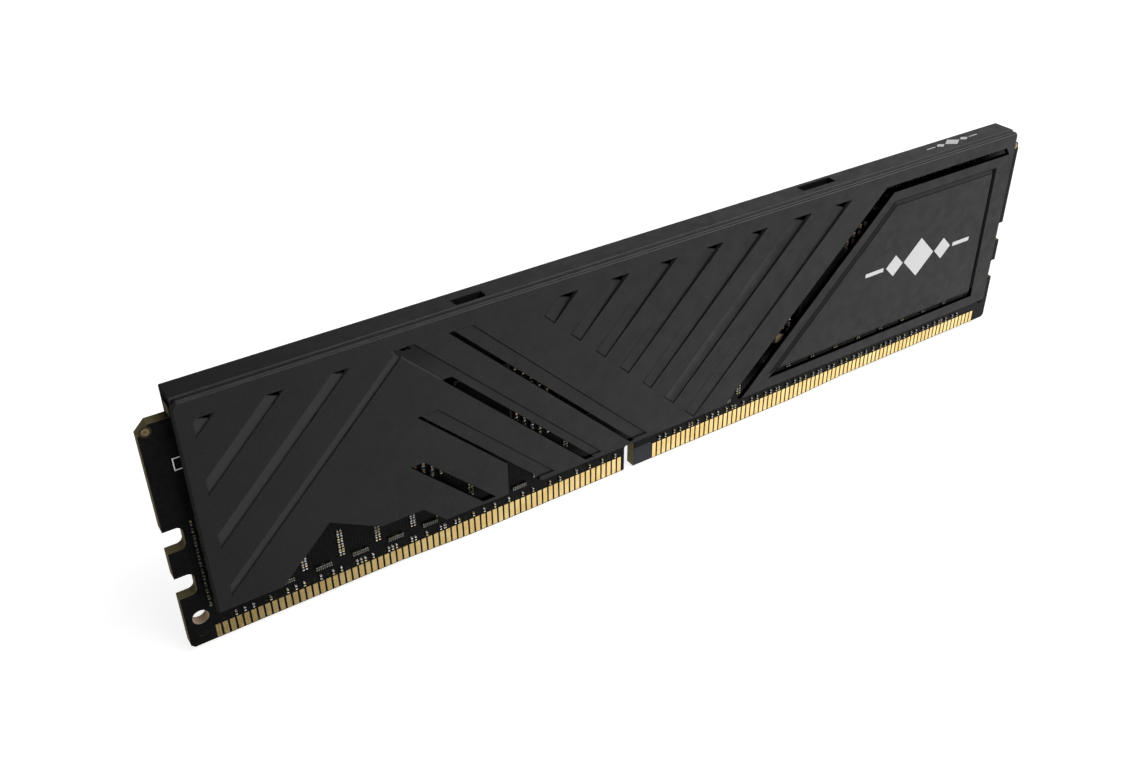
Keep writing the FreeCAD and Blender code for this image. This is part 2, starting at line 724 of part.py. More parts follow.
def groove_end_loop(line, chord, top):
    """Corner between the square end of a middle groove and its opening."""
    upper = line + chord
    drop = chord * OPENING_DROP
    return [(top - upper, top), (top - upper + chord / 2, top - chord / 2), (top - line - drop, top - drop)]


def peak_loop(falling_low):
    """Narrow rising groove that ends on the lower side of a falling groove."""
    left = size("rising_left")
    lower = size("peak_line")
    upper = lower + size("peak_chord")
    corners = [((falling_low - line) / 2, (falling_low + line) / 2) for line in (lower, upper)]
    return [(left, left + lower), *corners, (left, left + upper)]


def peak_opening(falling_low, falling_high):
    """Narrow level opening where the narrow rising groove and the falling groove meet."""
    top = size("peak_top")
    depth = (falling_high - falling_low) / 6
    return [(falling_low + 2 * depth - top, top), (falling_high - depth - top, top),
            (falling_high - depth - top, top - depth), (falling_low + 3 * depth - top, top - depth)]


def falling_loop(line, low_side, high_side, bottom, top):
    """Strip falling to the right at 45 degrees between two parallel sides."""
    return [
        (line + low_side - top, top),
        (line + low_side - bottom, bottom),
        (line + high_side - bottom, bottom),
        (line + high_side - top, top),
    ]


# Falling grooves: upright size, top line, then the upright size and top line of the slot cut
# through along the lower side.
FALLING = (
    (3.0, 31.6, 0.6, 31.5),
    (2.72, 31.6, 1.15, 25.7),
    (2.65, 21.95, 0.3, 21.8),
)
LAST_SLOT = (-23.1, 1.7, 15.4)
SLOT_BOTTOM = 6.2
PEAK_GROOVE = 1
OPENING_DROP = 0.3
RISING_COUNT = 3
MIDDLE_FIRST = -2
MIDDLE_COUNT = 7
MIDDLE_WIDE = 2
OVERCUT = 0.5
REAR_GROOVES = 3


def add_ramp_groove(body, name, line, chord):
    """Groove that starts shallow at its lower end and gets deeper up to its square top end."""
    upper = line + chord
    start = size("middle_start").value
    finish = (2 * size("middle_top") - upper).value
    length = (finish - start) / math.sqrt(2)
    middle_line = (line + chord / 2).value
    foot = Vector((start - middle_line) / 2, -(size("front_inner") + size("front_sheet")).value,
                  (start + middle_line) / 2)
    along = Vector(1, 0, 1).normalize()
    into = Vector(0, 1, 0)
    across = into.cross(along)
    turn = FreeCAD.Matrix(into.x, along.x, across.x, foot.x,
                          into.y, along.y, across.y, foot.y,
                          into.z, along.z, across.z, foot.z,
                          0, 0, 0, 1)
    half = chord / (2 * math.sqrt(2))
    wedge = body.newObject("PartDesign::SubtractiveWedge", name)
    wedge.Placement = FreeCAD.Placement(turn)
    wedge.Xmin = -OVERCUT
    wedge.X2min = -OVERCUT
    wedge.setExpression("Xmax", size("middle_shallow").text)
    wedge.setExpression("X2max", size("middle_deep").text)
    wedge.Ymin = 0
    wedge.Ymax = length
    for prop in ("Zmin", "Z2min"):
        wedge.setExpression(prop, (-half).text)
    for prop in ("Zmax", "Z2max"):
        wedge.setExpression(prop, half.text)
    doc.recompute()


def add_hook(body, name, start, end, front, back):
    """Tongue under the cap with a tip turned up into the cap's slot."""
    clear = size("hook_clearance")
    inside = size("front_inner") + 0.2
    tip_back = back - clear
    boxes = (
        ("tongue", -inside, tip_back + inside, size("hook_underside"), size("hook_sheet")),
        ("tip", tip_back - size("hook_sheet"), size("hook_sheet"), size("hook_underside"),
         size("hook_tip_top") - size("hook_underside")),
    )
    for part_name, y, width, z, height in boxes:
        box = body.newObject("PartDesign::AdditiveBox", f"{name}_{part_name}")
        box.setExpression("Length", (end - start - 2 * clear).text)
        box.setExpression("Width", as_size(width).text)
        box.setExpression("Height", as_size(height).text)
        box.setExpression(".Placement.Base.x", (start + clear).text)
        box.setExpression(".Placement.Base.y", as_size(y).text)
        box.setExpression(".Placement.Base.z", as_size(z).text)
        doc.recompute()


def make_front_spreader():
    body = new_body("front_heat_spreader")
    half = size("spread_half")
    low = size("spread_bottom")
    high = size("spread_top")
    cut = size("front_corner_cut")
    outer = size("front_inner") + size("front_sheet")
    outline = [(-half, low), (half, low), (half, high), (cut - half, high), (-half, high - cut)]
    plate = pad(body, "front_plate", front_sketch(body, "front_outline", size("front_inner"), [outline]),
                size("front_sheet"))
    corner = corner_edges(plate, lambda p: near(p.x, half.value) and near(p.z, high.value))
    plate = dress(body, "Fillet", "front_top_corner", plate, corner, size("front_corner_radius"))
    feet = corner_edges(plate, lambda p: near(abs(p.x), half.value) and near(p.z, low.value))
    plate = dress(body, "Fillet", "front_low_corners", plate, feet, size("low_corner_radius"))
    rim = edges_where(plate, lambda p: near(p.y, -outer.value) and p.z > low.value + 0.3)
    plate = dress(body, "Chamfer", "front_rim_bevel", plate, rim, size("front_edge_bevel"))

    bevel_angle = math.degrees(math.atan(size("panel_bevel").value / size("panel_rise").value))
    panel_loop = [
        (size("panel_bottom") - size("panel_line"), size("panel_bottom")),
        (size("panel_right"), size("panel_bottom")),
        (size("panel_right"), size("panel_top")),
        (size("panel_top") - size("panel_line"), size("panel_top")),
    ]
    panel = body.newObject("PartDesign::Pad", "raised_panel")
    panel.Profile = front_sketch(body, "panel_outline", outer, [panel_loop])
    panel.setExpression("Length", size("panel_rise").text)
    panel.TaperAngle = -bevel_angle
    doc.recompute()

    face = outer + size("panel_rise")
    rising, openings = [], []
    for i in range(RISING_COUNT):
        line = size("rising_line") - i * size("groove_pitch")
        rising.append(rising_loop(line, size("rising_chord"), size("rising_left"), size("rising_top")))
        openings.append(opening_loop(line, size("rising_chord"), size("rising_top")))
    falling_high = size("falling_line") - PEAK_GROOVE * size("groove_pitch")
    falling_low = falling_high - FALLING[PEAK_GROOVE][0]
    rising.append(peak_loop(falling_low))
    openings.append(peak_opening(falling_low, falling_high))
    for i, loop in enumerate(rising):
        pocket(body, f"rising_groove_{i + 1}", front_sketch(body, f"rising_sketch_{i + 1}", outer, [loop]),
               size("rising_depth"))
    slots = []
    for i, (chord, top, slot_chord, slot_top) in enumerate(FALLING):
        line = size("falling_line") - i * size("groove_pitch")
        loop = falling_loop(line, -chord, 0, size("falling_bottom"), as_size(top))
        pocket(body, f"falling_groove_{i + 1}", front_sketch(body, f"falling_sketch_{i + 1}", outer, [loop]),
               size("falling_depth"))
        slots.append(falling_loop(line, -chord, slot_chord - chord, SLOT_BOTTOM, slot_top))
    slot_line, slot_chord, slot_top = LAST_SLOT
    slots.append(falling_loop(slot_line, 0, slot_chord, SLOT_BOTTOM, slot_top))
    for i, slot in enumerate(slots):
        pocket(body, f"falling_slot_{i + 1}", front_sketch(body, f"slot_sketch_{i + 1}", outer, [slot]))
    ends = []
    for i in range(MIDDLE_COUNT):
        line = size("middle_line") - (MIDDLE_FIRST + i) * size("groove_pitch")
        chord = size("middle_chord")
        if i >= MIDDLE_COUNT - MIDDLE_WIDE:
            line = line - size("middle_extra")
            chord = chord + size("middle_extra")
        add_ramp_groove(body, f"middle_groove_{i + 1}", line, chord)
        openings.append(opening_loop(line, chord, size("middle_top")))
        ends.append(groove_end_loop(line, chord, size("middle_top")))
    pocket(body, "middle_groove_ends", front_sketch(body, "groove_end_sketch", outer, ends), size("middle_deep"))
    pocket(body, "groove_openings", front_sketch(body, "opening_sketch", face, openings))

    floor = low - 1
    foot = size("vent_foot_left") - 1
    long_vent = [
        (foot, floor),
        (foot + size("vent_foot_width"), floor),
        (size("vent_bend_right"), size("vent_level")),
        (size("vent_right") + size("vent_end_slant"), size("vent_level")),
        (size("vent_right"), size("vent_top")),
        (size("vent_bend_left"), size("vent_top")),
    ]
    pocket(body, "long_vent", front_sketch(body, "long_vent_sketch", face, [long_vent]))
    depth = size("low_vent_top") - size("low_vent_bottom")
    low_vent = [
        (size("low_vent_left"), size("low_vent_bottom")),
        (size("side_groove_left"), size("low_vent_bottom")),
        (size("side_groove_left"), size("low_vent_top")),
        (size("low_vent_left") + depth, size("low_vent_top")),
    ]
    pocket(body, "low_vent", front_sketch(body, "low_vent_sketch", face, [low_vent]))
    window_peak = size("window_peak")
    shelf = size("window_shelf")
    window_line = size("window_line")
    window = [
        (floor - window_line, floor),
        (window_peak - window_line, window_peak),
        (size("window_shelf_left"), shelf),
        (size("window_fall") - shelf, shelf),
        (size("window_fall") - floor, floor),
    ]
    pocket(body, "bottom_window", front_sketch(body, "window_sketch", face, [window]))
    slant = size("falling_line") - 2 * size("groove_pitch") - FALLING[2][0]
    corner_left = size("corner_window_left")
    corner_window = [(corner_left, floor), (slant - floor, floor), (corner_left, slant - corner_left)]
    pocket(body, "corner_window", front_sketch(body, "corner_window_sketch", face, [corner_window]))
    groove = rectangle(size("side_groove_left"), size("low_vent_bottom"),
                       size("side_groove_left") + size("side_groove_width"), size("side_groove_top"))
    pocket(body, "side_groove", front_sketch(body, "side_groove_sketch", face, [groove]),
           size("side_groove_depth") + size("panel_rise"))

    add_hook(body, "left_hook", size("slot_left_start"), size("slot_left_end"),
             size("slot_left_front"), size("slot_left_back"))
    add_hook(body, "right_hook", size("slot_right_start"), size("slot_right_end"),
             size("slot_right_front"), size("slot_right_back"))


def make_rear_spreader():
    body = new_body("rear_heat_spreader")
    inner = size("rear_inner")
    outer = inner + size("rear_sheet")
    under = size("cap_top") - size("rear_sheet")
    front = -size("cap_front")
    low = size("spread_bottom")
    profile = new_sketch(body, "shell_profile", "YZ_Plane", 0)
    add_loop(profile, [(outer, low), (outer, size("cap_top")), (front, size("cap_top")), (front, under),
                       (inner, under), (inner, low)])
    shell = pad(body, "shell", profile, 2 * size("rear_half"), middle=True)
    bend = edges_where(shell, lambda p: near(p.y, outer.value) and near(p.z, size("cap_top").value))
    shell = dress(body, "Fillet", "shell_bend", shell, bend, size("bend_radius"))
    lip = edges_where(shell, lambda p: near(p.y, front.value) and near(p.z, size("cap_top").value))
    shell = dress(body, "Chamfer", "cap_front_bevel", shell, lip, size("cap_bevel"))
    feet = corner_edges(shell, lambda p: near(abs(p.x), size("rear_half").value) and near(p.z, low.value))
    dress(body, "Fillet", "rear_low_corners", shell, feet, size("rear_corner_radius"))

    slots = new_sketch(body, "hook_slot_sketch", "XY_Plane", size("cap_top"))
    for side in ("left", "right"):
        add_loop(slots, rectangle(size(f"slot_{side}_start"), size(f"slot_{side}_front"),
                                  size(f"slot_{side}_end"), size(f"slot_{side}_back")))
    pocket(body, "hook_slots", slots, size("rear_sheet") + 0.1)

    half_w = size("label_width") / 2 + size("label_margin")
    half_h = size("label_height") / 2 + size("label_margin")
    recess = rectangle(size("label_x") - half_w, size("label_z") - half_h,
                       size("label_x") + half_w, size("label_z") + half_h)
    pocket(body, "label_recess_cut", front_sketch(body, "label_recess_sketch", -outer, [recess]),
           size("label_recess"), reverse=True)
    top = size("rear_groove_top")
    bottom = size("rear_groove_bottom")
    end = size("rear_groove_half")
    chord = size("rising_chord")
    for i in range(REAR_GROOVES):
        step = size("groove_pitch") * i
        rising = rising_loop(size("rear_rising_line") - step, chord, -end, top)
        pocket(body, f"rear_rise_{i + 1}", front_sketch(body, f"rear_rise_sketch_{i + 1}", -outer, [rising]),
               size("rear_groove_depth"), reverse=True)
        low_line = size("rear_falling_line") + step
        high_line = low_line + chord
        if high_line.value - bottom.value > end.value:
            foot = [(end, low_line - end), (end, high_line - end)]
        else:
            foot = [(low_line - bottom, bottom), (high_line - bottom, bottom)]
        falling = [(low_line - top, top), *foot, (high_line - top, top)]
        pocket(body, f"rear_fall_{i + 1}", front_sketch(body, f"rear_fall_sketch_{i + 1}", -outer, [falling]),
               size("rear_groove_depth"), reverse=True)


# ---------------------------------------------------------------- pads, label and print

PAD_MARGIN = 0.3
REAR_PAD = (-61.0, 8.0, 61.0, 30.5)
EMBLEM_SMALL_AT = 1.62
EMBLEM_SMALL = 0.55
EMBLEM_BAR_FROM = 2.35
EMBLEM_BAR_TO = 3.5
EMBLEM_BAR = 0.1
CAP_EMBLEM_SQUASH = 0.63


def plate_part(label, loops, forward, thickness, back=False):
    """Thin flat part with one solid per outline, in a plane facing the front or the rear."""
    body = new_body(label)
    pad(body, label + "_pad", front_sketch(body, label + "_sketch", forward, loops), thickness, reverse=back)
    return body


def diamond(x, z, half_x, half_z):
    return [(x - half_x, z), (x, z - half_z), (x + half_x, z), (x, z + half_z)]


def emblem_loops(x, z, half_x, half_z):
    """A large diamond between two small ones and two bars, scaled from the large diamond."""
    loops = [diamond(x, z, half_x, half_z)]
    for side in (-1, 1):
        small_x = x + side * EMBLEM_SMALL_AT * half_x
        loops.append(diamond(small_x, z, EMBLEM_SMALL * half_x, EMBLEM_SMALL * half_z))
        near_x, far_x = (EMBLEM_BAR_FROM, EMBLEM_BAR_TO) if side > 0 else (-EMBLEM_BAR_TO, -EMBLEM_BAR_FROM)
        loops.append(rectangle(x + near_x * half_x, z - EMBLEM_BAR * half_z,
                               x + far_x * half_x, z + EMBLEM_BAR * half_z))
    return loops


def make_pads():
    half_w = size("chip_width") / 2 - PAD_MARGIN
    low = size("chip_bottom") + PAD_MARGIN
    high = size("chip_bottom") + size("chip_height") - PAD_MARGIN
    pads = [rectangle(m - half_w, low, m + half_w, high) for m in chip_middles()]
    chip_face = half_thick + size("ball_height") + size("chip_body")
    plate_part("front_thermal_pads", pads, chip_face, size("front_inner") - chip_face)
    rear_gap = size("rear_inner") - half_thick
    plate_part("rear_thermal_pad", [rectangle(*REAR_PAD)], -half_thick, rear_gap, back=True)


def make_rear_label():
    recess_floor = size("rear_inner") + size("rear_sheet") - size("label_recess")
    half_w = size("label_width") / 2
    half_h = size("label_height") / 2
    outline = rectangle(size("label_x") - half_w, size("label_z") - half_h,
                        size("label_x") + half_w, size("label_z") + half_h)
    plate_part("rear_label", [outline], -recess_floor, size("label_thickness"), back=True)


def make_prints():
    """Printed emblems, the printed square on the board and the bare metal alignment marks."""
    panel_face = size("front_inner") + size("front_sheet") + size("panel_rise")
    emblem = emblem_loops(size("emblem_x"), size("emblem_z"), size("emblem_half"), size("emblem_half"))
    plate_part("front_emblem", emblem, panel_face, size("ink_thickness"))

    top = new_body("top_emblem")
    sketch = new_sketch(top, "top_emblem_sketch", "XY_Plane", size("cap_top"))
    half = size("cap_emblem_half")
    for loop in emblem_loops(size("cap_emblem_x"), size("cap_emblem_y"), half, half * CAP_EMBLEM_SQUASH):
        add_loop(sketch, loop)
    pad(top, "top_emblem_pad", sketch, size("ink_thickness"))

    marks = new_body("alignment_marks")
    sketch = new_sketch(marks, "alignment_sketch", "XZ_Plane", half_thick)
    for side in (-1, 1):
        add_circle(sketch, side * (half_board - size("fiducial_inset")),
                   size("shoulder_height") - size("fiducial_drop"), size("fiducial_radius"))
    pad(marks, "alignment_pad", sketch, size("contact_thickness"))

    left, low = size("frame_left"), size("frame_low")
    side, line = size("frame_side"), size("frame_line")
    outside = rectangle(left, low, left + side, low + side)
    inside = rectangle(left + line, low + line, left + side - line, low + side - line)
    plate_part("board_ink_mark", [outside, inside], half_thick, size("ink_thickness"))


# ---------------------------------------------------------------- build, check and write

make_board()
make_contacts("contacts_front", 1)
make_contacts("contacts_rear", -1)
for number, middle in enumerate(chip_middles(), 1):
    make_chip(f"memory_chip_{number}", middle)
make_solder_balls()
make_small_parts()
make_front_spreader()
make_rear_spreader()
make_pads()
make_rear_label()
make_prints()
doc.recompute()

for item in doc.Objects:
    if "Invalid" in item.State or "Error" in item.State:
        raise RuntimeError(f"{item.Name} failed: {item.State}")
os.makedirs("parts", exist_ok=True)
for part in parts:
    if part.Shape.isNull() or not part.Shape.isValid() or not part.Shape.Solids:
        raise RuntimeError(f"{part.Label} has no valid shape")
    print(part.Label, len(part.Shape.Solids), [round(v, 3) for v in (
        part.Shape.BoundBox.XMin, part.Shape.BoundBox.XMax, part.Shape.BoundBox.YMin,
        part.Shape.BoundBox.YMax, part.Shape.BoundBox.ZMin, part.Shape.BoundBox.ZMax)])
    part.Shape.exportStep(f"parts/{part.Label}.step")
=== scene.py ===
import json
import math

import bpy
import numpy as np
from mathutils import Matrix, Vector


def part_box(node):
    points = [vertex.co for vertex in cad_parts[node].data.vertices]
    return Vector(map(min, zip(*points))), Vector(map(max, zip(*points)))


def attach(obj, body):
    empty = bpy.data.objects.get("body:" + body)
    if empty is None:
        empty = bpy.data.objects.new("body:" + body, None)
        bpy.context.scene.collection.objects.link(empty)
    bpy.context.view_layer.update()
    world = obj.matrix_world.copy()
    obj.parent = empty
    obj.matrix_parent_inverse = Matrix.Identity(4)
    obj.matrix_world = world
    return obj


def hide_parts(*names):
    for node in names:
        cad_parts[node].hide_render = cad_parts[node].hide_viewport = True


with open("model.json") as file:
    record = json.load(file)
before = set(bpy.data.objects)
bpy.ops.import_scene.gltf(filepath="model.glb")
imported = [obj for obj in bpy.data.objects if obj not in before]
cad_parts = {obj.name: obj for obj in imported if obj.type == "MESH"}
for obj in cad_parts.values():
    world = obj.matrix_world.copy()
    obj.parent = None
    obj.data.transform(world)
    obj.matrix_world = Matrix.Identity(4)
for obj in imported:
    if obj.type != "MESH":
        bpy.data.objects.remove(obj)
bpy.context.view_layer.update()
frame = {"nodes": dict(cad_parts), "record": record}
nodes = frame["nodes"]
MM = 0.001
BOARD_FACE = -0.7 * MM

# Places that the materials refer to, in mm. "Fall" is x + z and "rise" is z - x: each is constant
# along the grooves that fall or rise at 45 degrees.
LEFT_GROOVES_END = -37.6            # x where the left rising grooves end
LEFT_FLOOR_DEPTH = (-2.445, -2.2)   # y of their floors
SECOND_FALL = (-7.8, -5.0)          # fall of the second falling groove
SECOND_FALL_DEPTH = (-2.5, -2.3)    # y of its floor
SECOND_FALL_SHADE = (26, 32)        # z over which painted shade darkens its upper end
SECOND_FALL_LINE = (-7.95, -7.55)   # fall of the painted highlight line along its edge
SECOND_FALL_LINE_START = (25.4, 26.4)  # z over which that line appears
SLOT_FALLS = ((-0.8, 0.1), (-7.85, -6.45), (-15.2, -14.6), (-23.2, -21.3))
LONG_VENT_RISE = (-8.2, -3.2)
LONG_VENT_TOP = (36, 30.4)          # x and z beyond which the vent runs level
LOW_VENT_CORNER = (17, 8.7)         # x and z of the lower vent's upper left corner
CUT_THROUGH_DEPTH = -2.12           # y behind the deepest groove floor
SHEET_INSIDE = (62.7, 33.3)         # |x| and z just inside the sheet's outline
TOP_RIM = 33.4                      # z above which an edge belongs to the cap's rim
TOP_RIM_FRONT = -1.0                # y in front of which it does
TOP_RIM_FADE = (-60, 40)            # x over which the rim's painted highlight gets brighter
TOOLING_HOLE = (64.92, 4.35)        # |x| and z of the tooling holes
TOOLING_HOLE_REACH = 1.3
KEY_PATCH = (-4.9, -1.75)           # x of the bare patch right of the key notch
KEY_PATCH_TOP = 2.9
ALIGNMENT_MARK = (65.825, 30.45)    # |x| and z of the alignment marks
PROBE_DIMPLES = ((-65.2, 2.0, 0.62), (63.8, 2.5, 0.5))  # x, z and radius

# Tones (linear reflectance) and gloss of the two heat spreaders. Besides the coating, the tones are
# painted light and shade: light on the left groove floors, the side walls and the left edges, shade on the
# cut walls, the second groove's upper end and the other edges, and highlights on the rim and along the
# second falling groove.
COATING = 0.011
COATING_GLOSS = 0.22
LEFT_FLOOR_PAINTED_LIGHT = 0.03
GROOVE_WALL_PAINTED_LIGHT = 0.05
CUT_WALL_PAINTED_SHADE = 0.0012
FALL_SHADE = 0.002
RIM_HIGHLIGHT = 0.09
EDGE_PAINTED_SHADE = 0.003
LEFT_EDGE_PAINTED_LIGHT = 0.019
FALL_LINE_HIGHLIGHT = 0.03


# ---------------------------------------------------------------- materials

class Look:
    """A material with its nodes, built by short calls. Coordinates are in the row frame."""

    def __init__(self, name, roughness=0.5, metallic=0.0, specular=0.5):
        self.material = bpy.data.materials.new(name)
        self.material.use_nodes = True
        self.tree = self.material.node_tree
        self.tree.nodes.clear()
        self.shader = self.add("ShaderNodeBsdfPrincipled")
        output = self.add("ShaderNodeOutputMaterial")
        self.join(self.shader.outputs["BSDF"], output.inputs["Surface"])
        self.set("Roughness", roughness)
        self.set("Metallic", metallic)
        self.set("Specular IOR Level", specular)
        self.place = self.add("ShaderNodeTexCoord").outputs["Object"]

    def add(self, kind):
        return self.tree.nodes.new(kind)

    def join(self, source, target):
        self.tree.links.new(source, target)

    def feed(self, source, target):
        """Give an input a link, a number or a colour."""
        if isinstance(source, bpy.types.NodeSocket):
            self.join(source, target)
        elif isinstance(source, tuple) and target.type == "RGBA":
            target.default_value = (*source[:3], 1.0)
        else:
            target.default_value = source

    def set(self, name, value):
        self.feed(value, self.shader.inputs[name])

    def noise(self, size_mm, detail=3.0, stretch=(1, 1, 1), rough=0.55):
        mapping = self.add("ShaderNodeMapping")
        mapping.inputs["Scale"].default_value = stretch
        self.join(self.place, mapping.inputs["Vector"])
        node = self.add("ShaderNodeTexNoise")
        node.inputs["Scale"].default_value = 1 / (size_mm * MM)
        node.inputs["Detail"].default_value = detail
        node.inputs["Roughness"].default_value = rough
        self.join(mapping.outputs["Vector"], node.inputs["Vector"])
        return node.outputs["Fac"]

    def cells(self, size_mm):
        node = self.add("ShaderNodeTexVoronoi")
        node.inputs["Scale"].default_value = 1 / (size_mm * MM)
        self.join(self.place, node.inputs["Vector"])
        return node.outputs["Distance"]

    def axis(self, name, source=None):
        split = self.add("ShaderNodeSeparateXYZ")
        self.join(source or self.place, split.inputs[0])
        return split.outputs[name]

    def normal_axis(self, name):
        return self.axis(name, self.add("ShaderNodeNewGeometry").outputs["Normal"])

    def math(self, operation, a, b=0.0, c=0.0):
        node = self.add("ShaderNodeMath")
        node.operation = operation
        for value, target in zip((a, b, c), node.inputs):
            self.feed(value, target)
        return node.outputs[0]

    def step(self, value, low, high):
        """0 below low, 1 above high, smooth between."""
        node = self.add("ShaderNodeMapRange")
        node.interpolation_type = "SMOOTHSTEP"
        self.feed(value, node.inputs["Value"])
        node.inputs["From Min"].default_value = low
        node.inputs["From Max"].default_value = high
        return node.outputs["Result"]

    def span(self, value, low, high):
        """Linear change of a 0..1 value to low..high."""
        return self.math("MULTIPLY_ADD", value, high - low, low)

    def above(self, value, low_mm):
        return self.math("GREATER_THAN", value, low_mm * MM)

    def below(self, value, high_mm):
        return self.math("LESS_THAN", value, high_mm * MM)

    def between(self, value, low_mm, high_mm):
        return self.both(self.above(value, low_mm), self.below(value, high_mm))

    def both(self, a, b):
        return self.math("MULTIPLY", a, b)

    def either(self, *masks):
        result = masks[0]
        for mask in masks[1:]:
            result = self.math("MAXIMUM", result, mask)
        return result

    def blend(self, factor, a, b):
        node = self.add("ShaderNodeMix")
        node.data_type = "RGBA"
        self.feed(factor, node.inputs[0])
        self.feed(a, node.inputs[6])
        self.feed(b, node.inputs[7])
        return node.outputs[2]

    def bump(self, *heights):
        """Surface relief from (height, size in mm) pairs."""
        normal = None
        for height, depth_mm in heights:
            node = self.add("ShaderNodeBump")
            node.inputs["Strength"].default_value = 1.0
            node.inputs["Distance"].default_value = depth_mm * MM
            self.feed(height, node.inputs["Height"])
            if normal is not None:
                self.join(normal, node.inputs["Normal"])
            normal = node.outputs["Normal"]
        self.join(normal, self.shader.inputs["Normal"])


def grey(value):
    return (value, value, value)


def coated_metal(name, tone, roughness, grooved=False):
    """Black coated aluminium: fine grain, slight tone drift, rubbed spots; when grooved, also painted
    light and shade in the grooves.
    """
    look = Look(name, specular=COATING_GLOSS)
    grain = look.noise(0.11, detail=2.0)
    drift = look.noise(9.0, detail=4.0)
    colour = look.blend(look.step(drift, 0.3, 0.7), grey(tone * 0.88), grey(tone * 1.12))
    colour = look.blend(look.step(grain, 0.42, 0.75), colour, grey(tone * 1.7))
    if grooved:
        colour = groove_tones(look, colour)
    look.set("Base Color", colour)
    wear = look.step(look.noise(1.6, detail=5.0), 0.25, 0.8)
    look.set("Roughness", look.span(wear, roughness - 0.06, roughness + 0.08))
    look.bump((grain, 0.012), (look.noise(3.5, detail=2.0), 0.01))
    return look.material


def cut_through(look, x, y, z, fall, rise):
    """Mask of the slots, the two vents and everything behind the deepest groove floor."""
    slots = look.either(*[look.between(fall, low, high) for low, high in SLOT_FALLS])
    level_x, level_z = LONG_VENT_TOP
    level = look.both(look.above(z, level_z), look.above(x, level_x))
    low_x, low_z = LOW_VENT_CORNER
    low_vent = look.both(look.below(z, low_z), look.above(x, low_x))
    return look.either(look.above(y, CUT_THROUGH_DEPTH), slots, look.between(rise, *LONG_VENT_RISE),
                       level, low_vent)


def groove_tones(look, colour):
    """Painted light on the floors of the left rising grooves and on the side walls inside the sheet;
    painted shade at the upper end of the second falling groove and on the walls of everything cut right
    through."""
    x, y, z = look.axis("X"), look.axis("Y"), look.axis("Z")
    fall = look.math("ADD", x, z)
    rise = look.math("SUBTRACT", z, x)
    facing = look.math("LESS_THAN", look.normal_axis("Y"), -0.7)
    # Painted light: the floors of the left rising grooves are painted pale.
    floors = look.both(look.between(y, *LEFT_FLOOR_DEPTH), facing)
    floors = look.both(floors, look.below(x, LEFT_GROOVES_END))
    colour = look.blend(floors, colour, grey(LEFT_FLOOR_PAINTED_LIGHT))
    # Painted shade: the upper end of the second falling groove is painted dark.
    second = look.both(look.between(fall, *SECOND_FALL), look.between(y, *SECOND_FALL_DEPTH))
    start, finish = SECOND_FALL_SHADE
    shade = look.both(second, look.step(z, start * MM, finish * MM))
    colour = look.blend(shade, colour, grey(FALL_SHADE))
    # Painted light: side walls inside the sheet are painted lighter than the coating, against their shade.
    side = look.math("LESS_THAN", look.math("ABSOLUTE", look.normal_axis("Y")), 0.5)
    half, top = SHEET_INSIDE
    inside = look.both(look.below(z, top), look.below(look.math("ABSOLUTE", x), half))
    walls = look.both(side, inside)
    colour = look.blend(walls, colour, grey(GROOVE_WALL_PAINTED_LIGHT))
    # Painted shade: the walls of everything cut right through are painted near black.
    walls = look.both(walls, cut_through(look, x, y, z, fall, rise))
    look.set("Specular IOR Level", look.span(walls, COATING_GLOSS, 0.0))
    return look.blend(walls, colour, grey(CUT_WALL_PAINTED_SHADE))


def worn_edge_with_painted_light(name):
    """Edges of the coated sheet: a painted highlight with rubbed wear spots on the top rim, painted shade
    around grooves and vents.
    """
    look = Look(name, specular=0.5)
    rubbed = look.step(look.noise(0.9, detail=5.0, rough=0.7), 0.5, 0.68)
    x, y, z = look.axis("X"), look.axis("Y"), look.axis("Z")
    # Painted highlight on the cap's top rim and along the edge of the second falling groove.
    rim = look.both(look.above(z, TOP_RIM), look.below(y, TOP_RIM_FRONT))
    low, high = SECOND_FALL_LINE_START
    line = look.between(look.math("ADD", x, z), *SECOND_FALL_LINE)
    line = look.both(line, look.step(z, low * MM, high * MM))
    light = look.either(rim, line)
    # The rim highlight is painted dim on the left and brighter to the right; rubbed wear spots lighten it
    # further.
    dim_end, bright_end = TOP_RIM_FADE
    lit = look.blend(look.step(x, dim_end * MM, bright_end * MM), grey(RIM_HIGHLIGHT * 0.35), grey(RIM_HIGHLIGHT))
    bright = look.blend(look.math("MULTIPLY", rubbed, 0.2), lit, grey(RIM_HIGHLIGHT * 1.6))
    bright = look.blend(line, bright, grey(FALL_LINE_HIGHLIGHT))
    # Painted shade: edges around grooves and vents are painted dark, painted lighter on the left rising
    # grooves.
    dark = look.blend(look.below(x, LEFT_GROOVES_END), grey(EDGE_PAINTED_SHADE), grey(LEFT_EDGE_PAINTED_LIGHT))
    look.set("Base Color", look.blend(light, dark, bright))
    look.set("Specular IOR Level", look.span(light, 0.04, 0.3))
    look.set("Roughness", look.span(rubbed, 0.45, 0.38))
    look.bump((look.noise(0.12, detail=2.0), 0.01))
    return look.material


